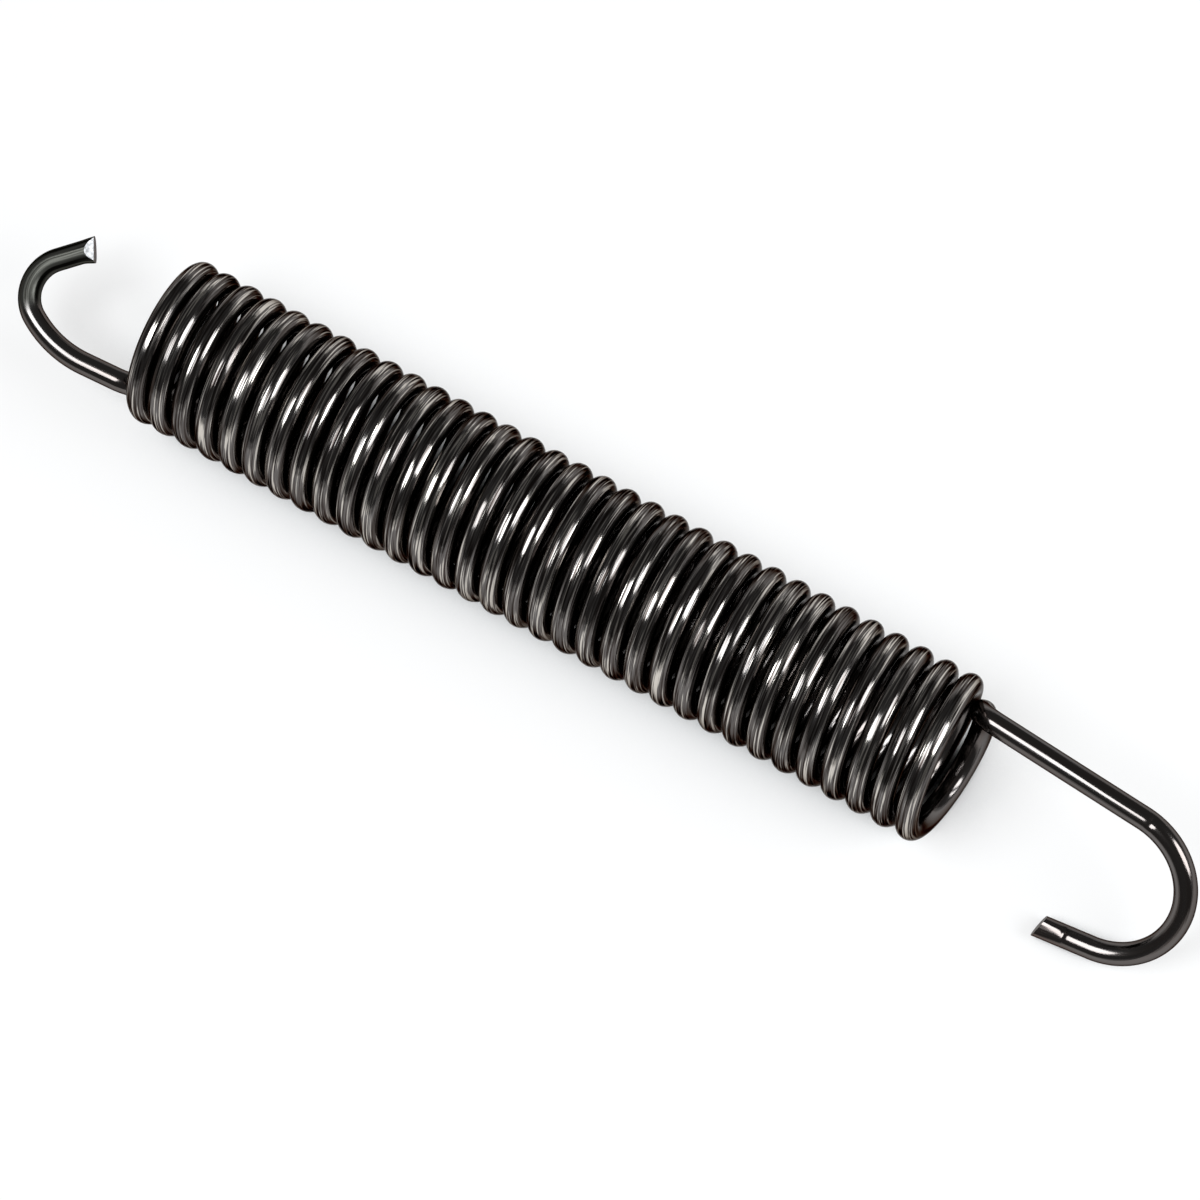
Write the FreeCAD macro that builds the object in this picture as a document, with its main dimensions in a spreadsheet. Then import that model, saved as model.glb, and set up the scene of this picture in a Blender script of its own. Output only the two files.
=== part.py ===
import FreeCAD, Part
import os

# Pedal return spring: one length of round steel wire, wound to the right into a long open coil.
# At each end the last turn is drawn in towards the axis, turned out along it, and formed into a hook.
# Millimetres. X runs along the coil axis towards the long hook, Z is up, and the spring lies at rest on Z = 0
# on its coil and the tip of the long hook. The origin is the middle of the bounding box at floor level.

doc = FreeCAD.newDocument("pedal_return_spring")

# Driving dimensions, lengths in millimetres and angles in degrees
dimensions = [
    ("wire_diameter", 2.5),
    ("coil_mean_diameter", 15.9),
    ("coil_pitch", 2.922),
    ("coil_turns", 32.778),
    ("coil_start_x", -53.824),
    ("coil_axis_y", 0.637),
    ("coil_start_angle", 61.42),
    ("draw_radius", 6.75),
    ("draw_angle", 126.05),
    ("bend_radius", 2.5),
    ("bend_angle", 91.19),
    ("long_bend_roll", 88.56),
    ("long_shank_length", 17.6),
    ("long_hook_roll", -67.89),
    ("long_hook_radius", 8.17),
    ("long_hook_angle", 168.42),
    ("long_tip_length", 5.9),
    ("long_cut_turn", -17.8),
    ("long_cut_tilt", 25.6),
    ("short_bend_roll", 95.53),
    ("short_shank_length", 3.9),
    ("short_hook_roll", -75.12),
    ("short_sweep_radius", 13.07),
    ("short_sweep_angle", 34.19),
    ("short_hook_radius", 4.13),
    ("short_hook_angle", 105.19),
    ("short_tip_length", 4.33),
    ("short_cut_turn", 6.6),
    ("short_cut_tilt", 15.7),
    ("short_bevel_turn", -58.1),
    ("short_bevel_tilt", 32.5),
    ("cut_allowance", 1.0),
    ("cut_block_size", 8.0),
]

sheet = doc.addObject("Spreadsheet::Sheet", "Dimensions")
for row, (alias, value) in enumerate(dimensions, start=1):
    sheet.set(f"A{row}", alias)
    sheet.set(f"B{row}", str(value))
    sheet.setAlias(f"B{row}", alias)
doc.recompute()

WIRE_RADIUS = "Dimensions.wire_diameter / 2"
COIL_RADIUS = "Dimensions.coil_mean_diameter / 2"
LEAD_ANGLE = "atan(Dimensions.coil_pitch / (pi * Dimensions.coil_mean_diameter))"


def step(x="0", y="0", z="0", axis="0; 0; 1", angle="0"):
    """A shift followed by a turn about the given axis, as a placement expression."""
    return f"placement(vector({x}; {y}; {z}); rotation(vector({axis}); {angle}))"


def section(name, frame):
    """Wire section where a length begins: its Z is the way the wire runs, its X points to the bend centre."""
    ring = doc.addObject("Part::Circle", name)
    ring.setExpression("Radius", WIRE_RADIUS)
    ring.setExpression("Placement", frame)
    return f"{ring.Name}.Placement"


def bend(name, frame, radius, angle):
    """Curved length of wire; gives back the solid and the frame at its far end."""
    start = section(f"{name}_section", frame)
    arc = doc.addObject("Part::Torus", name)
    arc.setExpression("Radius1", radius)
    arc.setExpression("Radius2", WIRE_RADIUS)
    arc.setExpression("Angle3", angle)
    arc.setExpression("Placement", f"{start} * {step(x=radius, axis='0; 1; 1', angle='180')}")
    across = f"{radius} * (1 - cos({angle} * 1deg))"
    along = f"{radius} * sin({angle} * 1deg)"
    return arc, f"{start} * {step(x=across, z=along, axis='0; 1; 0', angle=angle)}"


def straight(name, frame, length):
    """Straight length of wire; gives back the solid and the frame at its far end."""
    start = section(f"{name}_section", frame)
    rod = doc.addObject("Part::Cylinder", name)
    rod.setExpression("Radius", WIRE_RADIUS)
    rod.setExpression("Height", length)
    rod.setExpression("Placement", start)
    return rod, f"{start} * {step(z=length)}"


def rolled(frame, angle):
    """The same section with its X turned about the wire."""
    return f"{frame} * {step(angle=angle)}"


def cut_block(name, frame, turn, tilt):
    """Block whose lower face is the plane of a cut, tilted off square by the given angle."""
    size = "Dimensions.cut_block_size"
    block = doc.addObject("Part::Box", name)
    for side in ("Length", "Width", "Height"):
        block.setExpression(side, size)
    plane = f"{frame} * {step(angle=turn)} * {step(axis='0; 1; 0', angle=tilt)}"
    block.setExpression("Placement", f"{plane} * {step(x=f'-{size} / 2', y=f'-{size} / 2')}")
    return block


def cut_tip(name, frame, length, blocks):
    """Straight tip of a hook, made a little long and then cut off by the given planes."""
    tip, _ = straight(name, frame, f"{length} + Dimensions.cut_allowance")
    cut_frame = f"{name}_section.Placement * {step(z=length)}"
    for block_name, turn, tilt in blocks:
        cut = doc.addObject("Part::Cut", f"{block_name}_cut")
        cut.Base = tip
        cut.Tool = cut_block(block_name, cut_frame, turn, tilt)
        tip = cut
    return tip


# Coil
coil_path = doc.addObject("Part::Helix", "coil_path")
coil_path.LocalCoord = 0
coil_path.Style = 1
coil_path.setExpression("Pitch", "Dimensions.coil_pitch")
coil_path.setExpression("Height", "Dimensions.coil_pitch * Dimensions.coil_turns")
coil_path.setExpression("Radius", COIL_RADIUS)
coil_seat = step(
    x="Dimensions.coil_start_x",
    y="Dimensions.coil_axis_y",
    z=f"{COIL_RADIUS} + {WIRE_RADIUS}",
    axis="0; 1; 0",
    angle="90",
)
coil_path.setExpression("Placement", f"{coil_seat} * {step(angle='Dimensions.coil_start_angle')}")

lead = step(x=COIL_RADIUS, axis="1; 0; 0", angle=LEAD_ANGLE)
facing_out = step(axis="0; 1; 1", angle="180")
facing_back = step(axis="0; 1; -1", angle="180")
coil_start = f"coil_path.Placement * {lead}"
coil_top = step(z="Dimensions.coil_pitch * Dimensions.coil_turns", angle="Dimensions.coil_turns * 360")
coil_end = f"coil_path.Placement * {coil_top} * {lead}"

section("coil_section", f"{coil_start} * {facing_out}")
doc.recompute()
coil = doc.addObject("Part::Sweep", "coil")
coil.Sections = [doc.getObject("coil_section")]
coil.Spine = (coil_path, ["Edge1"])
coil.Solid = True
coil.Frenet = True


def coil_exit(hook, frame):
    """Drawn-in turn, bend and shank that bring the wire from the coil to where its hook begins."""
    draw, frame = bend(f"{hook}_draw", frame, "Dimensions.draw_radius", "Dimensions.draw_angle")
    frame = rolled(frame, f"Dimensions.{hook}_bend_roll")
    corner, frame = bend(f"{hook}_bend", frame, "Dimensions.bend_radius", "Dimensions.bend_angle")
    shank, frame = straight(f"{hook}_shank", frame, f"Dimensions.{hook}_shank_length")
    return [draw, corner, shank], rolled(frame, f"Dimensions.{hook}_hook_roll")


# Long hook: a straight shank, one wide round bend and a straight tip sheared on the slant
long_hook, frame = coil_exit("long", f"{coil_end} * {facing_out}")
loop, frame = bend("long_loop", frame, "Dimensions.long_hook_radius", "Dimensions.long_hook_angle")
long_cuts = [("long_shear", "Dimensions.long_cut_turn", "Dimensions.long_cut_tilt")]
long_hook += [loop, cut_tip("long_tip", frame, "Dimensions.long_tip_length", long_cuts)]

# Short hook: a swept shank, a tight bend and a straight tip nipped off to a bevelled edge
short_hook, frame = coil_exit("short", f"{coil_start} * {facing_back}")
sweep, frame = bend("short_sweep", frame, "Dimensions.short_sweep_radius", "Dimensions.short_sweep_angle")
loop, frame = bend("short_loop", frame, "Dimensions.short_hook_radius", "Dimensions.short_hook_angle")
short_cuts = [
    ("short_shear", "Dimensions.short_cut_turn", "Dimensions.short_cut_tilt"),
    ("short_bevel", "Dimensions.short_bevel_turn", "Dimensions.short_bevel_tilt"),
]
short_hook += [sweep, loop, cut_tip("short_tip", frame, "Dimensions.short_tip_length", short_cuts)]

# The whole wire as one solid
spring = doc.addObject("Part::MultiFuse", "spring")
spring.Shapes = [coil] + long_hook + short_hook
spring.Label = "spring_wire"
doc.recompute()

for item in doc.Objects:
    if "Invalid" in item.State or "Error" in item.State:
        raise RuntimeError(f"{item.Label} did not build: {item.State}")
    if hasattr(item, "Shape") and (item.Shape.isNull() or not item.Shape.isValid()):
        raise RuntimeError(f"{item.Label} has no valid shape")
if len(spring.Shape.Solids) != 1:
    raise RuntimeError("the wire must be one solid")

os.makedirs("parts", exist_ok=True)
spring.Shape.exportStep(f"parts/{spring.Label}.step")
box = spring.Shape.optimalBoundingBox(False, False)
print(f"{spring.Label}: volume {spring.Shape.Volume:.2f}, faces {len(spring.Shape.Faces)}")
print(f"length {box.XLength:.2f}, width {box.YLength:.2f}, height {box.ZLength:.2f}")
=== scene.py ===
import math

import bmesh
import bpy
import numpy as np
from mathutils import Matrix, Vector


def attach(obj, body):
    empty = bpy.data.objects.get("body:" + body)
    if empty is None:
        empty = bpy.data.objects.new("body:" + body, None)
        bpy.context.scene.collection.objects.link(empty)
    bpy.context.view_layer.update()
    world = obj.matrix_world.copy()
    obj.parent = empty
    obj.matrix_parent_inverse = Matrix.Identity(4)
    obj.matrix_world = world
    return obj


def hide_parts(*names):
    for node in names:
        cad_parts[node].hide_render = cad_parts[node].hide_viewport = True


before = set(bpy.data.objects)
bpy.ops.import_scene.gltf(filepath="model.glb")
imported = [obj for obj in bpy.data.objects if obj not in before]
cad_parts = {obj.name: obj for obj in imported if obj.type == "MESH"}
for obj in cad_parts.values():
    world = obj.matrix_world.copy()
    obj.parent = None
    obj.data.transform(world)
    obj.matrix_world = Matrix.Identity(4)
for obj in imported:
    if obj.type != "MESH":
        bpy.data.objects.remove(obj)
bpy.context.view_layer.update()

# Pedal return spring: one length of wire, drawn along the same path as the solid that it replaces

# Sizes of the wire, in metres and degrees, the same as the solid's
MM = 0.001
WIRE_RADIUS = 1.25 * MM
COIL_RADIUS = 7.95 * MM
COIL_PITCH = 2.922 * MM
COIL_TURNS = 32.778
COIL_START_X = -53.824 * MM
COIL_AXIS_Y = 0.637 * MM
COIL_AXIS_Z = COIL_RADIUS + WIRE_RADIUS
COIL_START_ANGLE = 61.42

# Bends as pairs of radius and angle, straight lengths, and rolls about the wire between them
DRAW = (6.75 * MM, 126.05)
BEND = (2.5 * MM, 91.19)
LONG_BEND_ROLL = 88.56
LONG_SHANK = 17.6 * MM
LONG_HOOK_ROLL = -67.89
LONG_LOOP = (8.17 * MM, 168.42)
LONG_TIP = 5.9 * MM
SHORT_BEND_ROLL = 95.53
SHORT_SHANK = 3.9 * MM
SHORT_HOOK_ROLL = -75.12
SHORT_SWEEP = (13.07 * MM, 34.19)
SHORT_LOOP = (4.13 * MM, 105.19)
SHORT_TIP = 4.33 * MM
CUT_ALLOWANCE = 1.0 * MM

# Planes of the cuts at the tips: a turn about the wire, a tilt off square, and a shift off its axis
LONG_SHEAR = (-17.8, 25.6, 0.0)
SHORT_SHEAR = (6.6, 15.7, 0.0)
SHORT_BEVEL = (-74.2, 59.0, 0.67 * MM)
CUT_TOLERANCE = 1e-8

# The nippers that cut the short tip spread one side of it more than the other, and pinch its back
NIP_REACH = 1.8 * MM
NIP_SPREAD = 0.27
NIP_LESS_SPREAD = 0.03
NIP_PINCH = 0.6

# The shears that cut the long tip pressed a flat on it, by place along the wire and height in wire radii
PRESS_TURN = -76.5
PRESS_PLACES = (-5.3 * MM, -3.3 * MM, -2.95 * MM, 0.0, CUT_ALLOWANCE)
PRESS_HEIGHTS = (2.0, 1.15, 0.93, 0.71, 0.64)
PRESS_ROUNDING = 0.3 * MM

# Nicks on top of the long hook, by their distance along the wire from its cut
NICKS = (2.95 * MM, 28.9 * MM)
NICK_DEPTH = 0.13 * MM
NICK_LENGTH = 0.19 * MM
NICK_WIDTH = 24.0

# Length of wire at the long cut that has turned brown, with painted shade on its underside, and where the
# dull skin of the short hook ends
BROWN_AND_SHADE_REACH = 9.0 * MM
DULL_LENGTH = (10.8 * MM, 13.0 * MM)

# The end turn by the short hook lies closer to the next: a shift, and its middle and reach in turns
CLOSE_SHIFT = 0.33 * MM
CLOSE_MIDDLE = 0.32
CLOSE_REACH = 0.62

# Fineness of the mesh
RING_POINTS = 32
RING_ANGLES = np.linspace(0, 2 * math.pi, RING_POINTS, endpoint=False)
COIL_STEPS_PER_TURN = 66
BEND_STEP = 1.5
STRAIGHT_STEP = 0.15 * MM

# Relief of the skin, which is shallower off the rubbed side, and grain of the cut faces
DRAW_LINE_DEPTH = 0.09 * MM
LEAST_RELIEF = 0.3
GRAIN_SCALE = 2500
GRAIN_DEPTH = 0.03 * MM

# Material slots of the cut faces, after the skin's
BARE_CUT = 1
DULL_CUT = 2

# Camera that took the photograph, as seen from the spring
CAMERA_AIM = Vector((1.6 * MM, -1.9 * MM, 9.2 * MM))
CAMERA_DISTANCE = 0.5383
CAMERA_AZIMUTH = -36.7
CAMERA_ELEVATION = 73.7
CAMERA_ROLL = -23.7
CAMERA_LENS = 155.5
CAMERA_SENSOR = 36.0
CAMERA_NEAR = 0.01

# Two round softboxes, each with its azimuth, elevation and width
LAMP_DISTANCE = 0.9
LAMP_RADIANCE = 9.2
LAMP_COLOUR = (0.95, 0.98, 1.0)
LEFT_LAMP = (-134.4, 65.3, 0.56)
RIGHT_LAMP = (16.5, 35.6, 0.56)
ROOM_LIGHT = 0.10

# Pale floor that turns up into a low backdrop all round
FLOOR_RADIUS = 3.0
FLOOR_MIDDLE = 0.5
FLOOR_COVE = 0.25
BACKDROP_HEIGHT = 0.5
FLOOR_SIDES = 96
COVE_STEPS = 8
FLOOR_GREY = 0.85

# The floor's own glow, which falls off with the distance from the spring
FLOOR_GLOW = 0.72
FAR_FLOOR = (0.25, 1.2)
FAR_GLOW = 0.55

# Where the spring hides the sky, the floor loses its glow and then, as painted shade, its paleness, over
# these open shares
SHADE_REACH = 25 * MM
SHADE_SAMPLES = 8
SHADE_OPEN = (0.35, 0.65)
PAINTED_SHADE_OPEN = (0.10, 0.32)
PAINTED_SHADE_GREY = 0.04

X_AXIS = (1, 0, 0)
Y_AXIS = (0, 1, 0)
Z_AXIS = (0, 0, 1)


def turned(axis, degrees):
    return Matrix.Rotation(math.radians(degrees), 4, Vector(axis))


def moved(x=0.0, y=0.0, z=0.0):
    return Matrix.Translation((x, y, z))


# Path of the wire, as frames whose Z is the way it runs and whose X points to the centre of the bend
def bend_frames(start, size):
    radius, angle = size
    steps = max(2, round(angle / BEND_STEP))
    frames = []
    for step in range(1, steps + 1):
        part = math.radians(angle) * step / steps
        place = moved(radius * (1 - math.cos(part)), 0, radius * math.sin(part))
        frames.append(start @ place @ turned(Y_AXIS, math.degrees(part)))
    return frames


def straight_frames(start, length):
    steps = max(2, round(length / STRAIGHT_STEP))
    return [start @ moved(z=length * step / steps) for step in range(1, steps + 1)]


def hook_frames(start, bend_roll, shank, hook_roll, loops, tip):
    """Frames from the coil to the end of a hook, the frame of its cut, and the count in its tip."""
    frames = bend_frames(start, DRAW)
    frames += bend_frames(frames[-1] @ turned(Z_AXIS, bend_roll), BEND)
    frames += straight_frames(frames[-1], shank)
    hook_start = frames[-1] @ turned(Z_AXIS, hook_roll)
    for loop in loops:
        frames += bend_frames(hook_start, loop)
        hook_start = frames[-1]
    tip_frames = straight_frames(hook_start, tip + CUT_ALLOWANCE)
    return frames + tip_frames, hook_start @ moved(z=tip), len(tip_frames)


def coil_frames():
    lead = math.degrees(math.atan(COIL_PITCH / (2 * math.pi * COIL_RADIUS)))
    seat = moved(COIL_START_X, COIL_AXIS_Y, COIL_AXIS_Z) @ turned(Y_AXIS, 90)
    seat = seat @ turned(Z_AXIS, COIL_START_ANGLE)
    along_wire = turned(X_AXIS, lead) @ turned((0, 1, 1), 180)
    steps = round(COIL_TURNS * COIL_STEPS_PER_TURN)
    frames = []
    for step in range(steps + 1):
        turns = COIL_TURNS * step / steps
        place = turned(Z_AXIS, 360 * turns) @ moved(COIL_RADIUS, 0, COIL_PITCH * turns)
        frames.append(seat @ place @ along_wire)
    return frames


def across_wire(path):
    """Two unit vectors across the wire at each frame, carried along it without twist."""
    across = path[0].col[0].xyz.normalized()
    first, second = [], []
    for place in path:
        heading = place.col[2].xyz.normalized()
        across = (across - heading * across.dot(heading)).normalized()
        first.append(across)
        second.append(heading.cross(across))
    return np.array(first), np.array(second)


def smooth_step(values):
    share = np.clip(values, 0, 1)
    return share * share * (3 - 2 * share)


# Rings of points round the wire
def wire_rings(path, coil_start):
    """Centre of each ring, the ways out from it to its points, and its length along the wire."""
    first, second = across_wire(path)
    centres = np.array([place.translation for place in path])
    lengths = np.concatenate([[0], np.cumsum(np.linalg.norm(np.diff(centres, axis=0), axis=1))])
    turns = (lengths - lengths[coil_start]) / (2 * math.pi * COIL_RADIUS)
    centres[:, 0] += CLOSE_SHIFT * smooth_step(1 - np.abs(turns - CLOSE_MIDDLE) / CLOSE_REACH)
    along_first = np.cos(RING_ANGLES)[:, None]
    along_second = np.sin(RING_ANGLES)[:, None]
    out = first[:, None] * along_first + second[:, None] * along_second
    return centres, out, lengths


def from_long_cut(lengths):
    """Distance of each ring from the long cut, along the wire."""
    return lengths[-1] - CUT_ALLOWANCE - lengths


def nick_depths(out, lengths):
    """Depth of the nicks at each point, from the way it faces and its distance to the long cut."""
    tilt = np.degrees(np.arccos(np.clip(out[..., 2], -1, 1)))
    depths = np.zeros(tilt.shape)
    for distance in NICKS:
        along = (from_long_cut(lengths)[:, None] - distance) / NICK_LENGTH
        depths += NICK_DEPTH * np.exp(-(along**2 + (tilt / NICK_WIDTH) ** 2) / 2)
    return depths


def section_axes(place, turn):
    """Axes of a cut's frame as columns: across the wire at a turn, square to that, and along it."""
    return np.array((place @ turned(Z_AXIS, turn)).to_3x3())


def nipped(points, place):
    """Spreads the end of the short tip along the bevel's edge, and pinches its back."""
    axes = section_axes(place, SHORT_BEVEL[0])
    middle = np.array(place.translation)
    local = (points - middle) @ axes
    share = smooth_step(1 + local[..., 2] / NIP_REACH)
    spread = np.where(local[..., 1] > 0, NIP_SPREAD, NIP_LESS_SPREAD)
    pinch = np.where(local[..., 0] < 0, NIP_PINCH, 0)
    local[..., 1] *= 1 + share * spread
    local[..., 0] *= 1 - share * pinch
    return local @ axes.T + middle


def pressed(points, place):
    """Presses a flat on the upper side of the long tip, which deepens towards the cut."""
    axes = section_axes(place, PRESS_TURN)
    middle = np.array(place.translation)
    local = (points - middle) @ axes
    limit = WIRE_RADIUS * np.interp(local[..., 2], PRESS_PLACES, PRESS_HEIGHTS)
    over = local[..., 0] - limit
    local[..., 0] -= (over + np.hypot(over, PRESS_ROUNDING)) / 2
    return local @ axes.T + middle


# The wire as a mesh
def tube_mesh(points):
    """Tube through rings of points, open at both ends."""
    faces = []
    for ring in range(len(points) - 1):
        low = ring * RING_POINTS
        high = low + RING_POINTS
        for point in range(RING_POINTS):
            after = (point + 1) % RING_POINTS
            faces.append((low + point, low + after, high + after, high + point))
    mesh = bpy.data.meshes.new("spring_wire_drawn")
    mesh.from_pydata(points.reshape(-1, 3).tolist(), [], faces)
    return mesh


def mark_skin(mesh, centres, out, lengths):
    """Stores at each point what the skin's material reads."""
    # Place on the wire: round it in X and Y, and along it in Z, in wire radii
    lay = np.empty(out.shape)
    lay[..., 0] = np.cos(RING_ANGLES)
    lay[..., 1] = np.sin(RING_ANGLES)
    lay[..., 2] = (lengths / WIRE_RADIUS)[:, None]
    mesh.attributes.new("lay", "FLOAT_VECTOR", "POINT").data.foreach_set("vector", lay.ravel())

    # The winding tool rubbed what faces out of the coil
    radial = centres - np.array([0, COIL_AXIS_Y, COIL_AXIS_Z])
    radial[:, 0] = 0
    radial /= np.linalg.norm(radial, axis=1)[:, None]
    coil_end_x = COIL_START_X + COIL_PITCH * COIL_TURNS
    inside = np.minimum(centres[:, 0] - COIL_START_X, coil_end_x - centres[:, 0]) / WIRE_RADIUS + 1
    facing_out = np.clip((out * radial[:, None]).sum(2), 0, 1)

    # Brown starts at the long cut and stays off the top, which paints shade on the underside, and the dull
    # skin is on the short hook
    near_cut = smooth_step(1 - from_long_cut(lengths) / BROWN_AND_SHADE_REACH)
    bright_from, bright_to = DULL_LENGTH
    near_tip = smooth_step((bright_to - lengths) / (bright_to - bright_from))
    shares = {
        "rubbed": facing_out * smooth_step(inside)[:, None],
        "browned_and_shaded_under": near_cut[:, None] * (1 - np.clip(out[..., 2], 0, 1)),
        "dulled": np.repeat(near_tip[:, None], RING_POINTS, axis=1),
    }
    for name, values in shares.items():
        mesh.attributes.new(name, "FLOAT", "POINT").data.foreach_set("value", values.ravel())


def cut_end(form, near, place, cut, material):
    """Cuts the wire off along a plane, only at the vertices given, and closes it with one face."""
    turn, tilt, off_axis = cut
    plane = place @ turned(Z_AXIS, turn) @ moved(x=off_axis) @ turned(Y_AXIS, tilt)
    # Each element once and in order, so that the mesh comes out the same on every run
    faces = dict.fromkeys(face for vert in near for face in vert.link_faces)
    edges = dict.fromkeys(edge for face in faces for edge in face.edges)
    verts = dict.fromkeys(vert for face in faces for vert in face.verts)
    result = bmesh.ops.bisect_plane(
        form,
        geom=[*verts, *edges, *faces],
        dist=CUT_TOLERANCE,
        plane_co=plane.translation,
        plane_no=plane.col[2].xyz,
        clear_outer=True,
    )
    rim = [item for item in result["geom_cut"] if isinstance(item, bmesh.types.BMEdge)]
    cap = bmesh.ops.contextual_create(form, geom=rim)["faces"]
    for face in cap:
        face.material_index = material
        face.smooth = False
        for edge in face.edges:
            edge.smooth = False
    return [vert for vert in near if vert.is_valid] + [vert for face in cap for vert in face.verts]


def make_wire():
    """The whole wire: its path, its rings of points with the tools' marks, and the cuts at both tips."""
    coil = coil_frames()
    about_face = turned(X_AXIS, 180)
    long_hook, long_cut, long_count = hook_frames(
        coil[-1], LONG_BEND_ROLL, LONG_SHANK, LONG_HOOK_ROLL, [LONG_LOOP], LONG_TIP
    )
    short_loops = [SHORT_SWEEP, SHORT_LOOP]
    short_hook, short_cut, short_count = hook_frames(
        coil[0] @ about_face, SHORT_BEND_ROLL, SHORT_SHANK, SHORT_HOOK_ROLL, short_loops, SHORT_TIP
    )
    path = [place @ about_face for place in reversed(short_hook)] + coil + long_hook
    centres, out, lengths = wire_rings(path, len(short_hook))
    points = centres[:, None] + (WIRE_RADIUS - nick_depths(out, lengths))[..., None] * out
    points[:short_count] = nipped(points[:short_count], short_cut)
    points[-long_count:] = pressed(points[-long_count:], long_cut)
    mesh = tube_mesh(points)
    mark_skin(mesh, centres, out, lengths)

    form = bmesh.new()
    form.from_mesh(mesh)
    form.verts.ensure_lookup_table()
    for face in form.faces:
        face.smooth = True
    short_tip = form.verts[:short_count * RING_POINTS]
    long_tip = form.verts[-long_count * RING_POINTS:]
    cut_end(form, long_tip, long_cut, LONG_SHEAR, DULL_CUT)
    short_tip = cut_end(form, short_tip, short_cut, SHORT_SHEAR, DULL_CUT)
    cut_end(form, short_tip, short_cut, SHORT_BEVEL, BARE_CUT)
    form.to_mesh(mesh)
    form.free()
    wire = bpy.data.objects.new("spring_wire_drawn", mesh)
    bpy.context.scene.collection.objects.link(wire)
    return wire


# Nodes that the materials share
def new_material(name):
    material = bpy.data.materials.new(name)
    material.use_nodes = True
    nodes = material.node_tree.nodes
    nodes.clear()
    return material, nodes, material.node_tree.links


def grey(value):
    return (value, value, value)


def attribute(nodes, name):
    node = nodes.new("ShaderNodeAttribute")
    node.attribute_name = name
    return node


def streaks(nodes, links, lay, stretch, scale, detail):
    """Noise drawn out along the wire."""
    mapping = nodes.new("ShaderNodeMapping")
    mapping.inputs["Scale"].default_value = (1, 1, stretch)
    links.new(lay.outputs["Vector"], mapping.inputs["Vector"])
    noise = nodes.new("ShaderNodeTexNoise")
    noise.inputs["Scale"].default_value = scale
    noise.inputs["Detail"].default_value = detail
    links.new(mapping.outputs["Vector"], noise.inputs["Vector"])
    return noise


def ramp(nodes, links, noise, stops):
    """Colour of a noise, with the ramp's stops as pairs of place and colour."""
    node = nodes.new("ShaderNodeValToRGB")
    elements = node.color_ramp.elements
    while len(elements) < len(stops):
        elements.new(0.5)
    for element, (place, colour) in zip(elements, stops):
        element.position = place
        element.color = (*colour, 1)
    links.new(noise.outputs["Fac"], node.inputs["Fac"])
    return node.outputs["Color"]


def mixed(nodes, links, share, below, above):
    """Colour that goes from one to the other by an attribute."""
    node = nodes.new("ShaderNodeMix")
    node.data_type = "RGBA"
    links.new(share.outputs["Fac"], node.inputs["Factor"])
    links.new(below, node.inputs["A"])
    links.new(above, node.inputs["B"])
    return node.outputs["Result"]


def calculated(nodes, links, operation, first, second):
    node = nodes.new("ShaderNodeMath")
    node.operation = operation
    links.new(first, node.inputs[0])
    links.new(second, node.inputs[1])
    return node.outputs["Value"]


def remapped(nodes, links, value, span, target):
    """Value carried from a span to a target span, and held at its ends."""
    node = nodes.new("ShaderNodeMapRange")
    for socket, limit in zip(("From Min", "From Max", "To Min", "To Max"), span + target):
        node.inputs[socket].default_value = limit
    links.new(value, node.inputs["Value"])
    return node.outputs["Result"]


def bump(nodes, links, height, strength, depth):
    node = nodes.new("ShaderNodeBump")
    node.inputs["Strength"].default_value = strength
    node.inputs["Distance"].default_value = depth
    links.new(height, node.inputs["Height"])
    return node.outputs["Normal"]


def show(nodes, links, surface):
    output = nodes.new("ShaderNodeOutputMaterial")
    links.new(surface, output.inputs["Surface"])


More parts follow.
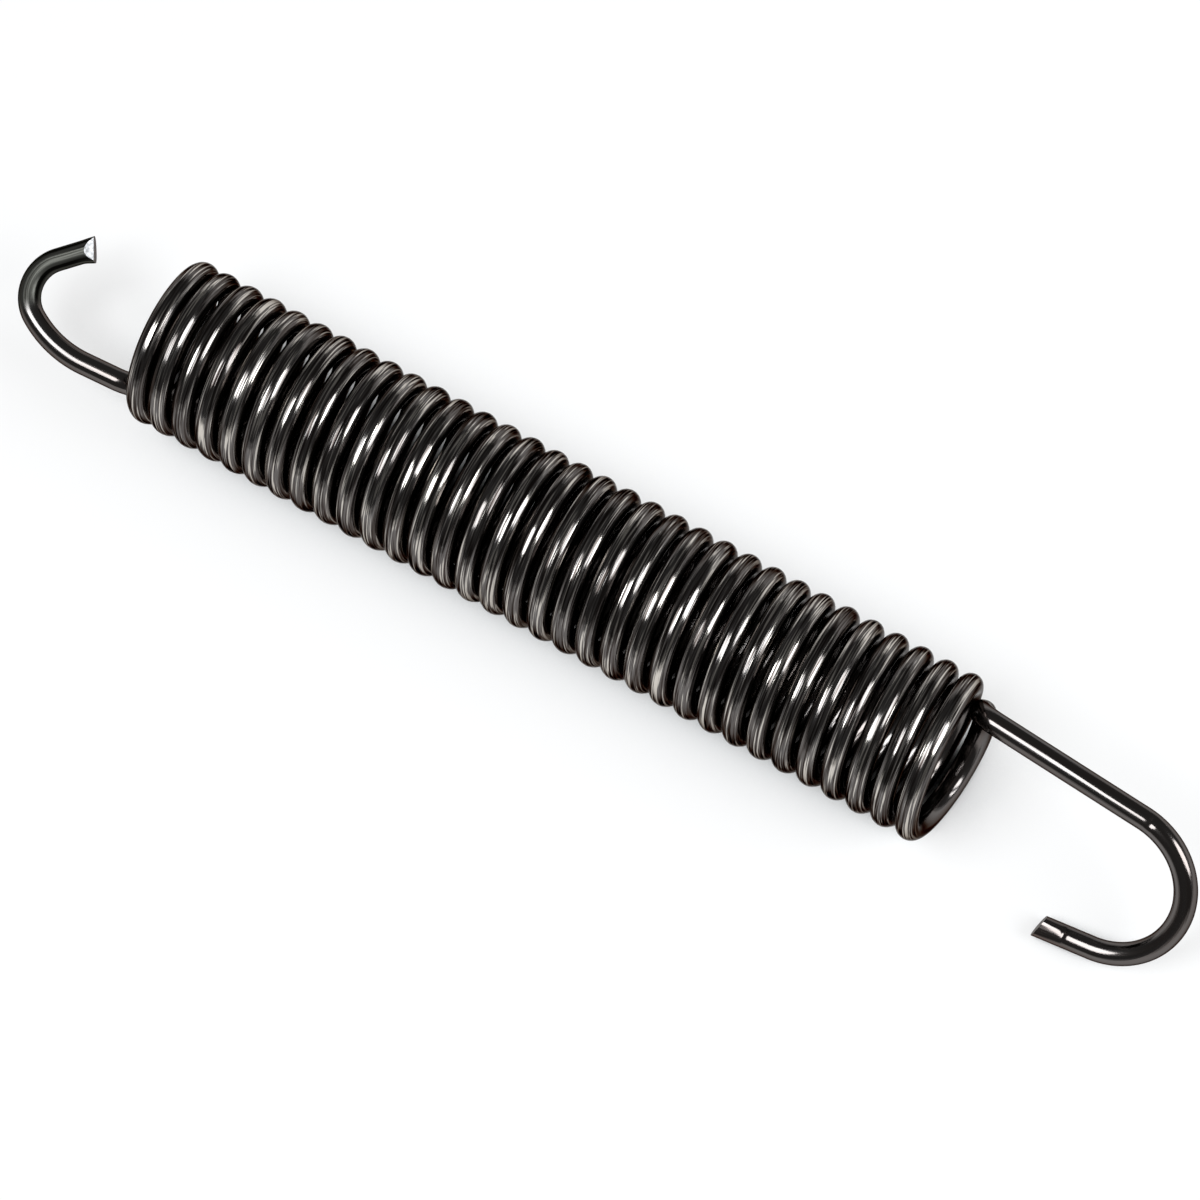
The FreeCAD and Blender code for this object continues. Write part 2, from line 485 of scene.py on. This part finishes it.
# Materials of the wire
def spring_steel():
    """Dark oiled wire: long draw lines, brown and grey tints with painted shade under the long tip, and
    scuffs where the winding tool ran.
    """
    material, nodes, links = new_material("spring_steel")
    lay = attribute(nodes, "lay")
    rubbed = attribute(nodes, "rubbed")
    browned_and_shaded_under = attribute(nodes, "browned_and_shaded_under")
    dulled = attribute(nodes, "dulled")
    shader = nodes.new("ShaderNodeBsdfPrincipled")
    shader.inputs["Metallic"].default_value = 1.0
    shader.inputs["Specular Tint"].default_value = (0.21, 0.19, 0.18, 1)

    tint = streaks(nodes, links, lay, stretch=0.06, scale=1.2, detail=4)
    lines = streaks(nodes, links, lay, stretch=0.018, scale=3.6, detail=2)
    hairs = streaks(nodes, links, lay, stretch=0.032, scale=6.5, detail=2)
    skin = ramp(nodes, links, tint, [(0.34, (0.114, 0.097, 0.090)), (0.66, (0.138, 0.131, 0.128))])
    # Brown tint by the long cut, darker than the skin and kept to the underside, where it also paints shade
    brown_and_shade_colour = ramp(nodes, links, tint, [(0.34, (0.062, 0.036, 0.027)), (0.66, (0.105, 0.075, 0.062))])
    dull = ramp(nodes, links, lines, [(0.42, (0.006, 0.006, 0.005)), (0.60, (0.095, 0.095, 0.085))])
    scuffs = ramp(nodes, links, hairs, [
        (0.39, (0.034, 0.028, 0.025)),
        (0.47, (0.120, 0.110, 0.105)),
        (0.56, (0.150, 0.143, 0.140)),
        (0.615, (0.62, 0.58, 0.53)),
    ])
    colour = mixed(nodes, links, browned_and_shaded_under, skin, brown_and_shade_colour)
    colour = mixed(nodes, links, dulled, colour, dull)
    colour = mixed(nodes, links, rubbed, colour, scuffs)
    links.new(colour, shader.inputs["Base Color"])

    smooth = ramp(nodes, links, lines, [(0.3, grey(0.11)), (0.75, grey(0.20))])
    rough = ramp(nodes, links, lines, [(0.3, grey(0.34)), (0.75, grey(0.46))])
    links.new(mixed(nodes, links, dulled, smooth, rough), shader.inputs["Roughness"])

    relief = remapped(nodes, links, rubbed.outputs["Fac"], (0.0, 1.0), (LEAST_RELIEF, 1.0))
    height = calculated(nodes, links, "MULTIPLY", lines.outputs["Fac"], relief)
    draw_lines = bump(nodes, links, height, strength=1.0, depth=DRAW_LINE_DEPTH)
    links.new(draw_lines, shader.inputs["Normal"])
    show(nodes, links, shader.outputs["BSDF"])
    return material


def cut_steel(name, dark, light, roughness):
    """Face left by a cut, torn into fine grain."""
    material, nodes, links = new_material(name)
    place = nodes.new("ShaderNodeTexCoord")
    shader = nodes.new("ShaderNodeBsdfPrincipled")
    shader.inputs["Metallic"].default_value = 1.0
    shader.inputs["Roughness"].default_value = roughness
    grain = nodes.new("ShaderNodeTexNoise")
    grain.inputs["Scale"].default_value = GRAIN_SCALE
    grain.inputs["Detail"].default_value = 5
    links.new(place.outputs["Object"], grain.inputs["Vector"])
    colour = ramp(nodes, links, grain, [(0.3, dark), (0.7, light)])
    links.new(colour, shader.inputs["Base Color"])
    torn = bump(nodes, links, grain.outputs["Fac"], strength=0.4, depth=GRAIN_DEPTH)
    links.new(torn, shader.inputs["Normal"])
    show(nodes, links, shader.outputs["BSDF"])
    return material


wire = make_wire()
skin = spring_steel()
bare_cut = cut_steel("bare_cut_steel", dark=grey(0.14), light=(0.50, 0.50, 0.51), roughness=0.42)
dull_cut = cut_steel("dull_cut_steel", dark=(0.03, 0.021, 0.017), light=(0.10, 0.075, 0.062), roughness=0.5)
for material in (skin, bare_cut, dull_cut):
    wire.data.materials.append(material)
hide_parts("spring_wire")
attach(wire, "root")


# Floor
def floor_profile():
    """Radius and height at each ring of the floor, out from the middle and up the backdrop."""
    profile = [(FLOOR_MIDDLE, 0.0), (FLOOR_RADIUS - FLOOR_COVE, 0.0)]
    for step in range(1, COVE_STEPS + 1):
        part = math.pi / 2 * step / COVE_STEPS
        radius = FLOOR_RADIUS - FLOOR_COVE * (1 - math.sin(part))
        profile.append((radius, FLOOR_COVE * (1 - math.cos(part))))
    return profile + [(FLOOR_RADIUS, BACKDROP_HEIGHT)]


def make_floor():
    form = bmesh.new()
    rings = []
    for radius, height in floor_profile():
        ring = []
        for side in range(FLOOR_SIDES):
            angle = 2 * math.pi * side / FLOOR_SIDES
            ring.append(form.verts.new((radius * math.cos(angle), radius * math.sin(angle), height)))
        rings.append(ring)
    form.faces.new(rings[0])
    for low, high in zip(rings, rings[1:]):
        for side in range(FLOOR_SIDES):
            after = (side + 1) % FLOOR_SIDES
            form.faces.new((low[side], low[after], high[after], high[side])).smooth = True
    mesh = bpy.data.meshes.new("floor")
    form.to_mesh(mesh)
    form.free()
    floor = bpy.data.objects.new("floor", mesh)
    bpy.context.scene.collection.objects.link(floor)
    return floor


def floor_white():
    """White to the camera and in reflections, with enough plain shading to keep the spring's shadow, and
    painted shade that darkens its colour beneath the spring.
    """
    material, nodes, links = new_material("floor_white")
    shade = nodes.new("ShaderNodeAmbientOcclusion")
    shade.samples = SHADE_SAMPLES
    shade.inputs["Distance"].default_value = SHADE_REACH
    open_sky = shade.outputs["AO"]
    place = nodes.new("ShaderNodeTexCoord")
    away = nodes.new("ShaderNodeVectorMath")
    away.operation = "LENGTH"
    links.new(place.outputs["Object"], away.inputs[0])

    ray = nodes.new("ShaderNodeLightPath")
    share = ray.outputs["Is Camera Ray"]
    for kind in ("Is Glossy Ray", "Is Transmission Ray"):
        share = calculated(nodes, links, "MAXIMUM", share, ray.outputs[kind])
    lit = remapped(nodes, links, open_sky, SHADE_OPEN, (0.0, FLOOR_GLOW))
    fade = remapped(nodes, links, away.outputs["Value"], FAR_FLOOR, (1.0, FAR_GLOW))
    for factor in (lit, fade):
        share = calculated(nodes, links, "MULTIPLY", share, factor)

    # Painted shade: the floor's colour darkens where the spring hides the sky
    paleness_with_painted_shade = remapped(nodes, links, open_sky, PAINTED_SHADE_OPEN, (PAINTED_SHADE_GREY, FLOOR_GREY))
    diffuse = nodes.new("ShaderNodeBsdfDiffuse")
    links.new(paleness_with_painted_shade, diffuse.inputs["Color"])
    glow = nodes.new("ShaderNodeEmission")
    glow.inputs["Color"].default_value = (1, 1, 1, 1)
    glow.inputs["Strength"].default_value = 1.0
    mix = nodes.new("ShaderNodeMixShader")
    links.new(share, mix.inputs["Fac"])
    links.new(diffuse.outputs["BSDF"], mix.inputs[1])
    links.new(glow.outputs["Emission"], mix.inputs[2])
    show(nodes, links, mix.outputs["Shader"])
    return material


floor = make_floor()
floor.data.materials.append(floor_white())


# Camera and lights
def direction(azimuth, elevation):
    flat = math.cos(math.radians(elevation))
    side = math.radians(azimuth)
    return Vector((flat * math.cos(side), flat * math.sin(side), math.sin(math.radians(elevation))))


def facing(place, aim, roll=0.0):
    """Pose of a camera or lamp at a place, looking at the aim."""
    back = (place - aim).normalized()
    right = Vector(Z_AXIS).cross(back).normalized()
    up = back.cross(right)
    turn = Matrix((right, up, back)).transposed().to_4x4()
    return Matrix.Translation(place) @ turn @ turned(Z_AXIS, roll)


def make_camera():
    data = bpy.data.cameras.new("camera")
    data.lens = CAMERA_LENS
    data.sensor_width = CAMERA_SENSOR
    data.clip_start = CAMERA_NEAR
    camera = bpy.data.objects.new("camera", data)
    place = CAMERA_AIM + CAMERA_DISTANCE * direction(CAMERA_AZIMUTH, CAMERA_ELEVATION)
    camera.matrix_world = facing(place, CAMERA_AIM, CAMERA_ROLL)
    bpy.context.scene.collection.objects.link(camera)
    bpy.context.scene.camera = camera


def softbox(name, azimuth, elevation, width):
    data = bpy.data.lights.new(name, "AREA")
    data.shape = "DISK"
    data.size = width
    data.color = LAMP_COLOUR
    data.energy = LAMP_RADIANCE * math.pi * (math.pi * width * width / 4)
    lamp = bpy.data.objects.new(name, data)
    lamp.matrix_world = facing(CAMERA_AIM + LAMP_DISTANCE * direction(azimuth, elevation), CAMERA_AIM)
    bpy.context.scene.collection.objects.link(lamp)


def make_room():
    world = bpy.data.worlds.new("studio")
    world.use_nodes = True
    world.node_tree.nodes["Background"].inputs["Color"].default_value = (*grey(ROOM_LIGHT), 1)
    bpy.context.scene.world = world


make_camera()
softbox("left_softbox", *LEFT_LAMP)
softbox("right_softbox", *RIGHT_LAMP)
make_room()
bpy.context.scene.view_settings.view_transform = "Standard"
